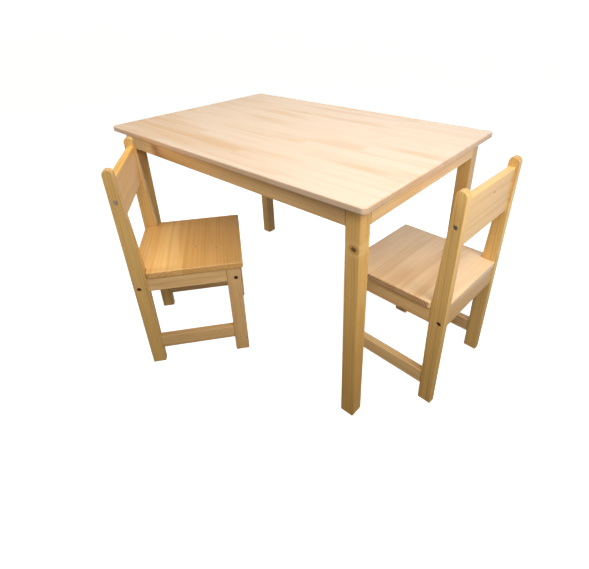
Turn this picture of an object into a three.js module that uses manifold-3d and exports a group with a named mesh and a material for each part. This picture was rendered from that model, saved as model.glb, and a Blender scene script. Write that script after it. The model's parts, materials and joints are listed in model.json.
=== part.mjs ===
// Children's pine table with two matching chairs, as flat-pack furniture is built.
//
// Millimetres, +Z up. The table's long side lies along X. The floor is z = 0, and the origin
// is the middle of the whole set's footprint.
//
// Table: an edge-glued top on a frame of four aprons and four square legs. Each apron has a stub
// tenon in each leg, and a corner block with a hanger bolt pulls every leg into its corner.
// Chair: two side frames (back post, front leg, seat rail and low stretcher, joined by stub
// tenons), bolted to a front rail and a back rail with barrel nuts. The seat board lies on the
// rails and is notched round the posts. The backrest board is screwed between the posts.
//
// Each chair is built in a frame of its own: x forwards from the heel of its back posts, y to the
// sitter's left, z up. It is then turned and set down beside the table.

import * as THREE from "three";
import { mergeVertices } from "three/addons/utils/BufferGeometryUtils.js";
import Module from "manifold-3d";

const wasm = await Module();
wasm.setup();

// ---- driving dimensions ----

const GAP = 0.3; // clearance between pieces that touch
const OVERRUN = 5; // how far a cutter starts outside the face that it cuts
const ROUND_STEPS = 12; // sides of a bolt or a bore

// table
const TABLE_LENGTH = 900;
const TABLE_WIDTH = 600;
const TABLE_HEIGHT = 575;
const TOP_THICKNESS = 15;
const TOP_CORNER = 12; // corner radius of the top, seen from above
const TOP_EDGE_EASE = 3; // chamfer that stands for the rounded-over edge
const TOP_OVERHANG = 25; // from the leg's outer face to the top's edge
const LEG = 35; // square section
const APRON_HEIGHT = 48;
const APRON_THICKNESS = 18;
const APRON_TENON = { length: 10, thickness: 8, height: 32 };
const BLOCK = { thickness: 18, height: 40, standOff: 4.5 }; // corner block across the frame

// chair
const CHAIR_WIDTH = 270; // over the side frames
const CHAIR_DEPTH = 268; // heel of the back post to the front leg's front face
const FRAME_THICKNESS = 19; // timber of the side frames
const POST_DEPTH = 34;
const POST_HEIGHT = 573;
const POST_LEAN = 6; // how far the heel edge leans back at the post's top
const POST_TAPER_START = 294; // the front edge slants back above this
const POST_TOP_FRONT = 18; // where the slanted front edge ends, measured forwards
const FRONT_LEG_DEPTH = 37;
const SEAT_HEIGHT = 300;
const SEAT_THICKNESS = 18;
const SEAT_SIDE_OVERHANG = 5.5;
const SEAT_FRONT_OVERHANG = 8;
const SEAT_REAR = -1; // rear edge of the seat board
const SEAT_EDGE_EASE = 2;
const SEAT_CORNER = 6;
const SEAT_SHOULDER = 7; // corner radius where the board steps in between the posts
const SIDE_RAIL_HEIGHT = 40;
const CROSS_RAIL = { height: 48, thickness: 18, frontFace: 263, backFace: 1 };
const STRETCHER = { bottom: 50, height: 37 };
const BACKREST = { bottom: 445, height: 106, thickness: 18, rear: -0.5, topRound: 5, bottomRound: 2 };
const FRAME_TENON = { length: 12, thickness: 9, inset: 6 };

// fasteners
const BOLT = { radius: 3, head: 5, headLength: 6, sunk: 2, length: 50, boreSpare: 2 };
const HEX_SOCKET = { radius: 2.6, depth: 3.5 };
const BARREL_NUT = { radius: 5, length: 14, fromRailEnd: 32 };
const BACK_SCREW = { radius: 3.5, length: 46 };
const HANGER = { radius: 3, inLeg: 24, pastBlock: 10 };
const NUT = { radius: 5.6, height: 5, washerRadius: 9, washerHeight: 1.6 };
const RAIL_BOLT_HEIGHT = 250;
const BACK_BOLT_HEIGHT = 494;

// where the chairs stand, measured from the table's centre to the middle of the chair's heel line
const CHAIRS = [
  { name: "chair_left", x: -210, y: -409, heading: 52 },
  { name: "chair_right", x: 557.5, y: 12.5, heading: 176.8 },
];

// ---- finishes ----

const topPine = { color: 0xefd2ae, roughness: 0.38, metalness: 0 };
const framePine = { color: 0xdcb67c, roughness: 0.42, metalness: 0 };
const seatPine = { color: 0xe3bf90, roughness: 0.4, metalness: 0 };
const blockPine = { color: 0xcfa871, roughness: 0.6, metalness: 0 };
const blackSteel = { color: 0x3b3835, roughness: 0.45, metalness: 0.9 };
const zincSteel = { color: 0xb9bcbe, roughness: 0.35, metalness: 0.95 };

// ---- solids ----

function toSolid(geometry) {
  const bare = geometry.clone();
  bare.deleteAttribute("normal");
  bare.deleteAttribute("uv");
  const merged = mergeVertices(bare, 1e-4);
  return new wasm.Manifold(new wasm.Mesh({
    numProp: 3,
    vertProperties: new Float32Array(merged.attributes.position.array),
    triVerts: new Uint32Array(merged.index.array),
  }));
}

function toGeometry(solid) {
  const mesh = solid.getMesh();
  const geometry = new THREE.BufferGeometry();
  geometry.setAttribute("position", new THREE.BufferAttribute(mesh.vertProperties, 3));
  geometry.setIndex(new THREE.BufferAttribute(mesh.triVerts, 1));
  geometry.computeVertexNormals();
  return geometry;
}

function combine(base, { join = [], cut = [] }) {
  let solid = toSolid(base);
  for (const extra of join) solid = solid.add(toSolid(extra));
  for (const hole of cut) solid = solid.subtract(toSolid(hole));
  return toGeometry(solid);
}

// a box between two opposite corners, given as [x, y, z]
function box(a, b) {
  const low = new THREE.Vector3(...a).min(new THREE.Vector3(...b));
  const high = new THREE.Vector3(...a).max(new THREE.Vector3(...b));
  const size = high.clone().sub(low);
  const middle = low.add(high).multiplyScalar(0.5);
  return new THREE.BoxGeometry(size.x, size.y, size.z).translate(middle.x, middle.y, middle.z);
}

// a round (or many-sided) bar from one point to another
function bar(radius, from, to, sides = ROUND_STEPS) {
  const start = new THREE.Vector3(...from);
  const run = new THREE.Vector3(...to).sub(start);
  const length = run.length();
  const turn = new THREE.Quaternion().setFromUnitVectors(new THREE.Vector3(0, 1, 0), run.clone().normalize());
  const geometry = new THREE.CylinderGeometry(radius, radius, length, sides);
  const middle = start.addScaledVector(run, 0.5);
  return geometry.applyQuaternion(turn).translate(middle.x, middle.y, middle.z);
}

// an outline drawn in the X-Z plane, given a thickness from y0 to y1
function sideProfile(shape, y0, y1, curveSegments = 8) {
  const options = { depth: Math.abs(y1 - y0), bevelEnabled: false, curveSegments };
  const geometry = new THREE.ExtrudeGeometry(shape, options);
  return geometry.rotateX(Math.PI / 2).translate(0, Math.max(y0, y1), 0);
}

function piece(name, geometry, finish) {
  const mesh = new THREE.Mesh(geometry, new THREE.MeshStandardMaterial(finish));
  mesh.name = name;
  return mesh;
}

// ---- table ----

const legOuterX = TABLE_LENGTH / 2 - TOP_OVERHANG;
const legOuterY = TABLE_WIDTH / 2 - TOP_OVERHANG;
const legInnerX = legOuterX - LEG;
const legInnerY = legOuterY - LEG;
const topUnderside = TABLE_HEIGHT - TOP_THICKNESS;
const frameTop = topUnderside - GAP;
const apronBottom = frameTop - APRON_HEIGHT;
const apronMiddle = frameTop - APRON_HEIGHT / 2;

const CORNERS = [
  { name: "front_left", x: -1, y: -1 },
  { name: "front_right", x: 1, y: -1 },
  { name: "back_left", x: -1, y: 1 },
  { name: "back_right", x: 1, y: 1 },
];

function roundedRectangle(width, depth, radius) {
  const x = width / 2;
  const y = depth / 2;
  const shape = new THREE.Shape();
  shape.absarc(x - radius, -y + radius, radius, -Math.PI / 2, 0);
  shape.absarc(x - radius, y - radius, radius, 0, Math.PI / 2);
  shape.absarc(-x + radius, y - radius, radius, Math.PI / 2, Math.PI);
  shape.absarc(-x + radius, -y + radius, radius, Math.PI, Math.PI * 1.5);
  shape.closePath();
  return shape;
}

// a board with its outline seen from above, its edges eased by a small chamfer
function boardFromAbove(shape, thickness, chamfer) {
  const geometry = new THREE.ExtrudeGeometry(shape, {
    depth: thickness - 2 * chamfer,
    bevelThickness: chamfer,
    bevelSize: chamfer,
    bevelOffset: -chamfer,
    bevelSegments: 1,
    curveSegments: 5,
  });
  return geometry.translate(0, 0, chamfer);
}

function tableTop() {
  const outline = roundedRectangle(TABLE_LENGTH, TABLE_WIDTH, TOP_CORNER);
  const board = boardFromAbove(outline, TOP_THICKNESS, TOP_EDGE_EASE);
  const mesh = piece("table_top", board, topPine);
  mesh.position.z = topUnderside;
  return mesh;
}

// the tenon's width across the apron's thickness lies in the middle of the board
function apronTenonSpan(outer) {
  const middle = outer - APRON_THICKNESS / 2;
  return [middle - APRON_TENON.thickness / 2, middle + APRON_TENON.thickness / 2];
}

function tableLeg(corner) {
  const at = (x, y, z) => [corner.x * x, corner.y * y, z];
  const [alongLow, alongHigh] = apronTenonSpan(legOuterY);
  const [acrossLow, acrossHigh] = apronTenonSpan(legOuterX);
  const low = apronMiddle - APRON_TENON.height / 2 - GAP;
  const high = apronMiddle + APRON_TENON.height / 2 + GAP;
  const deep = APRON_TENON.length + GAP;
  const longMortise = box(
    at(legInnerX - OVERRUN, alongLow - GAP, low),
    at(legInnerX + deep, alongHigh + GAP, high),
  );
  const shortMortise = box(
    at(acrossLow - GAP, legInnerY - OVERRUN, low),
    at(acrossHigh + GAP, legInnerY + deep, high),
  );
  const into = (HANGER.inLeg + GAP) / Math.SQRT2;
  const bore = bar(
    HANGER.radius + GAP,
    at(legInnerX - OVERRUN, legInnerY - OVERRUN, apronMiddle),
    at(legInnerX + into, legInnerY + into, apronMiddle),
  );
  const post = box(at(legInnerX, legInnerY, 0), at(legOuterX, legOuterY, frameTop));
  const leg = combine(post, { cut: [longMortise, shortMortise, bore] });
  return piece(`table_leg_${corner.name}`, leg, framePine);
}

// half = half the apron's length between the legs, outer = how far out its face lies
function apronGeometry(half, outer) {
  const [low, high] = apronTenonSpan(outer);
  const end = half - GAP;
  const tip = end + APRON_TENON.length;
  const zLow = apronMiddle - APRON_TENON.height / 2;
  const zHigh = apronMiddle + APRON_TENON.height / 2;
  const board = box([-end, outer - APRON_THICKNESS, apronBottom], [end, outer, frameTop]);
  const tenon = box([-tip, low, zLow], [tip, high, zHigh]);
  return combine(board, { join: [tenon] });
}

function aprons() {
  const long = () => apronGeometry(legInnerX, legOuterY);
  const short = () => apronGeometry(legInnerY, legOuterX);
  return [
    piece("table_apron_front", long().rotateZ(Math.PI), framePine),
    piece("table_apron_back", long(), framePine),
    piece("table_apron_left", short().rotateZ(Math.PI / 2), framePine),
    piece("table_apron_right", short().rotateZ(-Math.PI / 2), framePine),
  ];
}

// distances along the diagonal are measured inwards from the leg's inner corner
function alongDiagonal(corner, inwards, z = apronMiddle) {
  const step = inwards / Math.SQRT2;
  return [corner.x * (legInnerX - step), corner.y * (legInnerY - step), z];
}

function cornerBlock(corner) {
  const faceX = legOuterX - APRON_THICKNESS - GAP;
  const faceY = legOuterY - APRON_THICKNESS - GAP;
  const near = legInnerX + legInnerY - BLOCK.standOff * Math.SQRT2; // x + y on the face towards the leg
  const far = near - BLOCK.thickness * Math.SQRT2;
  const outline = [
    [near - faceY, faceY],
    [faceX, near - faceX],
    [faceX, far - faceX],
    [far - faceY, faceY],
  ];
  const shape = new THREE.Shape(outline.map(([x, y]) => new THREE.Vector2(corner.x * x, corner.y * y)));
  const block = new THREE.ExtrudeGeometry(shape, { depth: BLOCK.height, bevelEnabled: false });
  block.translate(0, 0, apronMiddle - BLOCK.height / 2);
  const boreEnd = BLOCK.standOff + BLOCK.thickness + OVERRUN;
  const bore = bar(HANGER.radius + 2 * GAP, alongDiagonal(corner, -OVERRUN), alongDiagonal(corner, boreEnd));
  return piece(`corner_block_${corner.name}`, combine(block, { cut: [bore] }), blockPine);
}

function hangerBolt(corner) {
  const tail = BLOCK.standOff + BLOCK.thickness + HANGER.pastBlock;
  const rod = bar(HANGER.radius, alongDiagonal(corner, -HANGER.inLeg), alongDiagonal(corner, tail));
  return piece(`hanger_bolt_${corner.name}`, rod, zincSteel);
}

function hangerNut(corner) {
  const seat = BLOCK.standOff + BLOCK.thickness + GAP;
  const washerEnd = seat + NUT.washerHeight;
  const nutEnd = washerEnd + NUT.height;
  const washer = bar(NUT.washerRadius, alongDiagonal(corner, seat), alongDiagonal(corner, washerEnd));
  const nut = bar(NUT.radius, alongDiagonal(corner, seat), alongDiagonal(corner, nutEnd), 6);
  const boreStart = alongDiagonal(corner, seat - OVERRUN);
  const bore = bar(HANGER.radius + GAP, boreStart, alongDiagonal(corner, nutEnd + OVERRUN));
  return piece(`hanger_nut_${corner.name}`, combine(washer, { join: [nut], cut: [bore] }), zincSteel);
}

function table() {
  const group = new THREE.Group();
  group.add(tableTop(), ...aprons());
  for (const corner of CORNERS) {
    group.add(tableLeg(corner), cornerBlock(corner), hangerBolt(corner), hangerNut(corner));
  }
  return group;
}

// ---- chair ----

const halfWidth = CHAIR_WIDTH / 2;
const innerFace = halfWidth - FRAME_THICKNESS; // inner face of a side frame
const seatUnderside = SEAT_HEIGHT - SEAT_THICKNESS;
const railTop = seatUnderside - GAP;
const frontLegRear = CHAIR_DEPTH - FRONT_LEG_DEPTH;
const frontBoltX = CROSS_RAIL.frontFace - CROSS_RAIL.thickness / 2;
const backBoltX = CROSS_RAIL.backFace + CROSS_RAIL.thickness / 2;
const screwX = BACKREST.rear + BACKREST.thickness / 2;
const headSeat = halfWidth - BOLT.sunk - BOLT.headLength; // where a bolt's head bottoms in its counterbore
const sideRailSpan = [railTop - SIDE_RAIL_HEIGHT, railTop];
const stretcherSpan = [STRETCHER.bottom, STRETCHER.bottom + STRETCHER.height];

const SIDES = [
  { name: "left", y: 1 },
  { name: "right", y: -1 },
];

// a counterbored hole through the side frame
function boltHole(side, x, z, radius) {
  const outside = [x, side.y * (halfWidth + OVERRUN), z];
  const through = bar(radius + GAP, [x, side.y * (innerFace - OVERRUN), z], outside);
  const counterbore = bar(BOLT.head + 2 * GAP, [x, side.y * (headSeat - GAP), z], outside);
  return [through, counterbore];
}

// the tenon, or with grow = GAP the mortise for it, at the height of a rail of the side frame
function frameTenon(side, [bottom, top], x0, x1, grow) {
  const middle = side.y * (innerFace + FRAME_THICKNESS / 2);
  const half = FRAME_TENON.thickness / 2 + grow;
  const low = bottom + FRAME_TENON.inset - grow;
  const high = top - FRAME_TENON.inset + grow;
  return box([x0, middle - half, low], [x1, middle + half, high]);
}

function backPostShape() {
  const shape = new THREE.Shape();
  const heelAtTop = -POST_LEAN;
  const radius = (POST_TOP_FRONT - heelAtTop) / 2;
  const centreX = (POST_TOP_FRONT + heelAtTop) / 2;
  const centreZ = POST_HEIGHT - radius;
  shape.moveTo(0, 0);
  shape.lineTo(POST_DEPTH, 0);
  shape.lineTo(POST_DEPTH, POST_TAPER_START);
  shape.absarc(centreX, centreZ, radius, 0, Math.PI);
  shape.closePath();
  return shape;
}

function backPost(side) {
  const blank = sideProfile(backPostShape(), side.y * innerFace, side.y * halfWidth);
  const mortiseEnd = POST_DEPTH - FRAME_TENON.length - 2 * GAP;
  const cut = [
    frameTenon(side, sideRailSpan, mortiseEnd, POST_DEPTH + OVERRUN, GAP),
    frameTenon(side, stretcherSpan, mortiseEnd, POST_DEPTH + OVERRUN, GAP),
    ...boltHole(side, backBoltX, RAIL_BOLT_HEIGHT, BOLT.radius),
    ...boltHole(side, screwX, BACK_BOLT_HEIGHT, BACK_SCREW.radius),
  ];
  return combine(blank, { cut });
}

function frontLeg(side) {
  const blank = box([frontLegRear, side.y * innerFace, 0], [CHAIR_DEPTH, side.y * halfWidth, railTop]);
  const mortiseEnd = frontLegRear + FRAME_TENON.length + 2 * GAP;
  const cut = [
    frameTenon(side, sideRailSpan, frontLegRear - OVERRUN, mortiseEnd, GAP),
    frameTenon(side, stretcherSpan, frontLegRear - OVERRUN, mortiseEnd, GAP),
    ...boltHole(side, frontBoltX, RAIL_BOLT_HEIGHT, BOLT.radius),
  ];
  return combine(blank, { cut });
}

// seat rail or low stretcher of a side frame, with a tenon at each end
function frameRail(side, [bottom, top]) {
  const start = POST_DEPTH + GAP;
  const end = frontLegRear - GAP;
  const board = box([start, side.y * innerFace, bottom], [end, side.y * halfWidth, top]);
  const tenon = frameTenon(side, [bottom, top], start - FRAME_TENON.length, end + FRAME_TENON.length, 0);
  return combine(board, { join: [tenon] });
}

// front or back rail: bored at each end for its bolt, with a blind cross bore for the barrel nut
function crossRail(x0, x1, boltX, nutMouth, nutEnd) {
  const end = innerFace - GAP;
  const bottom = railTop - CROSS_RAIL.height;
  const cut = [];
  for (const side of SIDES) {
    const boltTip = headSeat - BOLT.length - BOLT.boreSpare;
    const nutY = side.y * (innerFace - BARREL_NUT.fromRailEnd);
    const z = RAIL_BOLT_HEIGHT;
    cut.push(bar(BOLT.radius + GAP, [boltX, side.y * boltTip, z], [boltX, side.y * (end + OVERRUN), z]));
    cut.push(bar(BARREL_NUT.radius + GAP, [nutMouth, nutY, z], [nutEnd, nutY, z]));
  }
  return combine(box([x0, -end, bottom], [x1, end, railTop]), { cut });
}

function frontRail() {
  const inner = CROSS_RAIL.frontFace - CROSS_RAIL.thickness;
  const nutEnd = inner + BARREL_NUT.length + 2 * GAP;
  return crossRail(inner, CROSS_RAIL.frontFace, frontBoltX, inner - OVERRUN, nutEnd);
}

function backRail() {
  const inner = CROSS_RAIL.backFace + CROSS_RAIL.thickness;
  const nutEnd = inner - BARREL_NUT.length - 2 * GAP;
  return crossRail(CROSS_RAIL.backFace, inner, backBoltX, inner + OVERRUN, nutEnd);
}

// a socket-head bolt along Y, pointing inwards from its counterbore
function socketBolt(side, x, z, radius, length) {
  const face = side.y * (headSeat + BOLT.headLength);
  const socketFloor = side.y * (headSeat + BOLT.headLength - HEX_SOCKET.depth);
  const shank = bar(radius, [x, side.y * (headSeat - length), z], [x, socketFloor, z]);
  const head = bar(BOLT.head, [x, side.y * headSeat, z], [x, face, z]);
  const socket = bar(HEX_SOCKET.radius, [x, socketFloor, z], [x, face + side.y * OVERRUN, z], 6);
  return { head, shank, socket };
}

function railBolt(side, x, nutFrom, nutTo) {
  const { head, shank, socket } = socketBolt(side, x, RAIL_BOLT_HEIGHT, BOLT.radius, BOLT.length);
  const y = side.y * (innerFace - BARREL_NUT.fromRailEnd);
  const nut = bar(BARREL_NUT.radius, [nutFrom, y, RAIL_BOLT_HEIGHT], [nutTo, y, RAIL_BOLT_HEIGHT]);
  return combine(head, { join: [shank, nut], cut: [socket] });
}

function frontRailBolt(side) {
  const inner = CROSS_RAIL.frontFace - CROSS_RAIL.thickness;
  return railBolt(side, frontBoltX, inner + GAP, inner + BARREL_NUT.length + GAP);
}

function backRailBolt(side) {
  const inner = CROSS_RAIL.backFace + CROSS_RAIL.thickness;
  return railBolt(side, backBoltX, inner - GAP, inner - BARREL_NUT.length - GAP);
}

function backrestScrew(side) {
  const parts = socketBolt(side, screwX, BACK_BOLT_HEIGHT, BACK_SCREW.radius, BACK_SCREW.length);
  return combine(parts.head, { join: [parts.shank], cut: [parts.socket] });
}

function backrest() {
  const { bottom, height, thickness, rear, topRound: round, bottomRound: ease } = BACKREST;
  const top = bottom + height;
  const front = rear + thickness;
  const shape = new THREE.Shape();
  shape.absarc(front - ease, bottom + ease, ease, -Math.PI / 2, 0);
  shape.absarc(front - round, top - round, round, 0, Math.PI / 2);
  shape.absarc(rear + round, top - round, round, Math.PI / 2, Math.PI);
  shape.absarc(rear + ease, bottom + ease, ease, Math.PI, Math.PI * 1.5);
  shape.closePath();
  const end = innerFace - GAP;
  const blank = sideProfile(shape, -end, end, 4);
  const cut = SIDES.map((side) => {
    const tip = headSeat - BACK_SCREW.length - BOLT.boreSpare;
    const from = [screwX, side.y * tip, BACK_BOLT_HEIGHT];
    return bar(BACK_SCREW.radius + GAP, from, [screwX, side.y * (end + OVERRUN), BACK_BOLT_HEIGHT]);
  });
  return combine(blank, { cut });
}

function seatShape() {
  const front = CHAIR_DEPTH + SEAT_FRONT_OVERHANG;
  const wide = halfWidth + SEAT_SIDE_OVERHANG;
  const narrow = innerFace - GAP;
  const shoulder = POST_DEPTH + 2 * GAP;
  const shape = new THREE.Shape();
  shape.moveTo(SEAT_REAR, -narrow);
  shape.lineTo(shoulder, -narrow);
  shape.absarc(shoulder + SEAT_SHOULDER, -wide + SEAT_SHOULDER, SEAT_SHOULDER, -Math.PI, -Math.PI / 2);
  shape.absarc(front - SEAT_CORNER, -wide + SEAT_CORNER, SEAT_CORNER, -Math.PI / 2, 0);
  shape.absarc(front - SEAT_CORNER, wide - SEAT_CORNER, SEAT_CORNER, 0, Math.PI / 2);
  shape.absarc(shoulder + SEAT_SHOULDER, wide - SEAT_SHOULDER, SEAT_SHOULDER, Math.PI / 2, Math.PI);
  shape.lineTo(shoulder, narrow);
  shape.lineTo(SEAT_REAR, narrow);
  shape.closePath();
  return shape;
}

function chair({ name, x, y, heading }) {
  const group = new THREE.Group();
  const add = (part, geometry, finish) => group.add(piece(`${name}_${part}`, geometry, finish));
  const seat = boardFromAbove(seatShape(), SEAT_THICKNESS, SEAT_EDGE_EASE).translate(0, 0, seatUnderside);
  add("seat", seat, seatPine);
  add("backrest", backrest(), seatPine);
  add("front_rail", frontRail(), framePine);
  add("back_rail", backRail(), framePine);
  for (const side of SIDES) {
    add(`back_post_${side.name}`, backPost(side), framePine);
    add(`front_leg_${side.name}`, frontLeg(side), framePine);
    add(`seat_rail_${side.name}`, frameRail(side, sideRailSpan), framePine);
    add(`stretcher_${side.name}`, frameRail(side, stretcherSpan), framePine);
    add(`front_rail_bolt_${side.name}`, frontRailBolt(side), blackSteel);
    add(`back_rail_bolt_${side.name}`, backRailBolt(side), blackSteel);
    add(`backrest_screw_${side.name}`, backrestScrew(side), blackSteel);
  }
  group.position.set(x, y, 0);
  group.rotation.z = THREE.MathUtils.degToRad(heading);
  return group;
}

// ---- the set ----

const set = new THREE.Group();
set.add(table(), ...CHAIRS.map(chair));
set.updateMatrixWorld(true);
const footprint = new THREE.Box3().setFromObject(set, true).getCenter(new THREE.Vector3());
set.position.set(-footprint.x, -footprint.y, 0);

export default set;
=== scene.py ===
"""A children's pine table and two matching chairs: the finished timber and hardware, in metres, +Z up.

Every board is a solid of its own with eased edges, real tenons, mortises and counterbores. Each point of a
board remembers where it lay in the tree, so one growth-ring pattern gives long grain on the faces and rings
on the ends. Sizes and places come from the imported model; joinery and hardware sizes are named below.
"""
import json
import math
import random

import bmesh
import bpy
from mathutils import Matrix, Vector


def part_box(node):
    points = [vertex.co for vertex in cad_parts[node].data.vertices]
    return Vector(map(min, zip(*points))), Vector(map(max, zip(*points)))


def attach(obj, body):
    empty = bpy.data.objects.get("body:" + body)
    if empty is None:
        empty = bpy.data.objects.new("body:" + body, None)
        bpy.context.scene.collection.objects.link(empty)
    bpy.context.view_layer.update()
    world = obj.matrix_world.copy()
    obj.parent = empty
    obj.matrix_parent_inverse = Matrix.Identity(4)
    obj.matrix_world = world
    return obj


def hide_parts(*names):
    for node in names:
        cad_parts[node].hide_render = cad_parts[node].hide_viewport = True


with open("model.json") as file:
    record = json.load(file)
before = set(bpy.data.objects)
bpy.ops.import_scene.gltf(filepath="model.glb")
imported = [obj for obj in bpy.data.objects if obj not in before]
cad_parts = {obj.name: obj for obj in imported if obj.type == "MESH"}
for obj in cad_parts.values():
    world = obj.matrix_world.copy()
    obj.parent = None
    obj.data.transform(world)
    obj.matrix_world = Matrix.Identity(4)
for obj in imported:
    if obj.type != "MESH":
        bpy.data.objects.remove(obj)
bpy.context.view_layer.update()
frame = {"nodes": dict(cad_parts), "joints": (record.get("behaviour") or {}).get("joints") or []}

MM = 0.001
GAP = 0.3 * MM  # clearance between boards that touch
OVERRUN = 5 * MM  # how far a cutter starts outside the face that it cuts
SIDES = {"left": 1, "right": -1}  # a sitter's left is +y in the chair's own frame
UP = (0, 0, 1)
DOWN = (0, 0, -1)
CORNERS = {"front_left": (-1, -1), "front_right": (1, -1), "back_left": (-1, 1), "back_right": (1, 1)}

# eased edges
TOP_EDGE = 3 * MM
TOP_CORNER = 12 * MM
SEAT_EDGE = 2.6 * MM
SEAT_CORNER = 6 * MM
SEAT_SHOULDER = 7 * MM
FRAME_EDGE = 2.2 * MM
RAIL_EDGE = 1.6 * MM
LEG_EDGE = 2 * MM
SAWN_EDGE = 0.5 * MM
BACKREST_TOP_ROUND = 5 * MM
BACKREST_BOTTOM_ROUND = 2 * MM

# joinery
APRON_TENON = {"thickness": 8 * MM, "inset": 8 * MM}
FRAME_RAILS = ("seat_rail", "stretcher")
FRAME_TENON = {"thickness": 9 * MM, "inset": 6 * MM}
BLOCK_THICKNESS = 18 * MM
BLOCK_STAND_OFF = 4.5 * MM
POST_TAPER_START = 294 * MM
POST_HEAD_FRONT = 18 * MM  # from the heel line forwards to the front of a post's rounded head

# hardware: sizes by the name of the fastener's own socket, then how each is set
HEAD = {"Head Radius": 5 * MM, "Head Height": 6 * MM, "Socket Radius": 2.6 * MM, "Socket Depth": 3.5 * MM}
RAIL_BOLT = {**HEAD, "Shank Radius": 3 * MM, "Length": 50 * MM}
BACK_SCREW = {**HEAD, "Shank Radius": 3.5 * MM, "Length": 46 * MM}
BARREL_NUT = {"Radius": 5 * MM, "Length": 14 * MM}
HANGER = {"Radius": 3 * MM, "Pitch": 1 * MM}
HANGER_NUT = {"Corner Radius": 5.6 * MM, "Nut Height": 5 * MM, "Washer Radius": 9 * MM,
              "Washer Height": 1.6 * MM, "Bore Radius": HANGER["Radius"] + 0.5 * GAP}
BLOCK_SCREW = {"Head Radius": 3.9 * MM, "Shank Radius": 1.9 * MM, "Length": 46 * MM}
SEAT_SCREW = {**BLOCK_SCREW, "Length": 40 * MM}
HEAD_SUNK = 2 * MM  # from the timber's face down to a bolt's head
COUNTERBORE_RADIUS = HEAD["Head Radius"] + 2 * GAP
COUNTERBORE_CHAMFER = 0.5 * MM
BORE_SPARE = 2 * MM  # how much deeper than its bolt a hole goes
BARREL_NUT_INSET = 32 * MM  # from the side frame's inner face
HANGER_IN_LEG = 24 * MM
HANGER_TAIL = 10 * MM  # what stands out of the corner block
BLOCK_SCREW_SIDEWAYS = 17 * MM
BLOCK_SCREW_SUNK = 2.5 * MM
SEAT_SCREW_PLACES = (80 * MM, 185 * MM)
SEAT_SCREW_SUNK = 11.5 * MM
SCREW_HOLE = {"head": 4.4 * MM, "shank": 2.1 * MM, "spare": 0.5 * MM}


# ---- node graphs ----

def joined_by(operation, swapped=False):
    """A method that joins a field and another term by one Math node."""
    def join(field, other):
        return field.maths(operation, *((other, field) if swapped else (field, other)))
    return join


class Field:
    """A socket that takes part in sums: adding or scaling it adds the Math nodes."""

    __add__ = joined_by("ADD")
    __radd__ = joined_by("ADD", swapped=True)
    __sub__ = joined_by("SUBTRACT")
    __rsub__ = joined_by("SUBTRACT", swapped=True)
    __mul__ = joined_by("MULTIPLY")
    __rmul__ = joined_by("MULTIPLY", swapped=True)
    __truediv__ = joined_by("DIVIDE")

    def __init__(self, graph, socket):
        self.graph = graph
        self.socket = socket

    def part(self, name):
        """Another output of the same node."""
        return Field(self.graph, self.socket.node.outputs[name])

    def xyz(self):
        """The three parts of a vector."""
        outputs = self.graph.node("ShaderNodeSeparateXYZ", {0: self}).socket.node.outputs
        return [Field(self.graph, output) for output in outputs]

    def maths(self, operation, *terms):
        return self.graph.node("ShaderNodeMath", dict(enumerate(terms)), operation=operation)

    def __abs__(self):
        return self.maths("ABSOLUTE", self)

    def floor(self):
        return self.maths("FLOOR", self)

    def fraction(self):
        return self.maths("FRACT", self)

    def root(self):
        return self.maths("SQRT", self)

    def rise(self, low, high):
        """0 below low, 1 above high, and smooth between them."""
        sockets = {"Value": self, "From Min": low, "From Max": high}
        return self.graph.node("ShaderNodeMapRange", sockets, interpolation_type="SMOOTHSTEP")

    def fall(self, low, high):
        return 1 - self.rise(low, high)


class Graph:
    """A node tree that grows by expressions."""

    def __init__(self, tree):
        self.tree = tree

    def node(self, kind, sockets=None, output=None, **settings):
        made = self.tree.nodes.new(kind)
        for name, value in settings.items():
            setattr(made, name, value)
        for key, value in (sockets or {}).items():
            if isinstance(value, Field):
                self.tree.links.new(value.socket, made.inputs[key])
            else:
                made.inputs[key].default_value = value
        shown = [o for o in made.outputs if o.enabled]
        if output is not None:
            shown = [o for o in shown if o.name == output]
        return Field(self, shown[0]) if shown else None

    def mix(self, share, low, high):
        """A colour between two others."""
        return self.node("ShaderNodeMix", {0: share, 6: low, 7: high}, data_type="RGBA")

    def vectors(self, operation, *terms, output=None):
        return self.node("ShaderNodeVectorMath", dict(enumerate(terms)), output, operation=operation)

    def scaled(self, vector, factors):
        return self.vectors("MULTIPLY", vector, factors)

    def vector(self, x, y, z):
        return self.node("ShaderNodeCombineXYZ", {0: x, 1: y, 2: z})

    def noise(self, vector, scale=1.0, detail=2.0, roughness=0.5):
        sockets = {"Vector": vector, "Scale": scale, "Detail": detail, "Roughness": roughness}
        return self.node("ShaderNodeTexNoise", sockets)

    def chance(self, *terms):
        """A repeatable number from 0 to 1 for each set of three terms."""
        return self.node("ShaderNodeTexWhiteNoise", {"Vector": self.vector(*terms)}, noise_dimensions="3D")


class Finish(Graph):
    """A material under construction, with its own Principled shader."""

    def __init__(self, name, **constants):
        self.material = bpy.data.materials.new(name)
        self.material.use_nodes = True
        super().__init__(self.material.node_tree)
        self.tree.nodes.clear()
        sockets = {name.replace("_", " "): value for name, value in constants.items()}
        shader = self.node("ShaderNodeBsdfPrincipled", sockets)
        self.surface = shader.socket.node
        self.node("ShaderNodeOutputMaterial", {"Surface": shader})

    def attribute(self, name, output):
        return self.node("ShaderNodeAttribute", output=output, attribute_name=name)

    def feed(self, socket, field):
        self.tree.links.new(field.socket, self.surface.inputs[socket])

    def bump(self, height, distance, strength):
        sockets = {"Height": height, "Distance": distance, "Strength": strength}
        self.feed("Normal", self.node("ShaderNodeBump", sockets))


# ---- finishes ----

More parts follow.
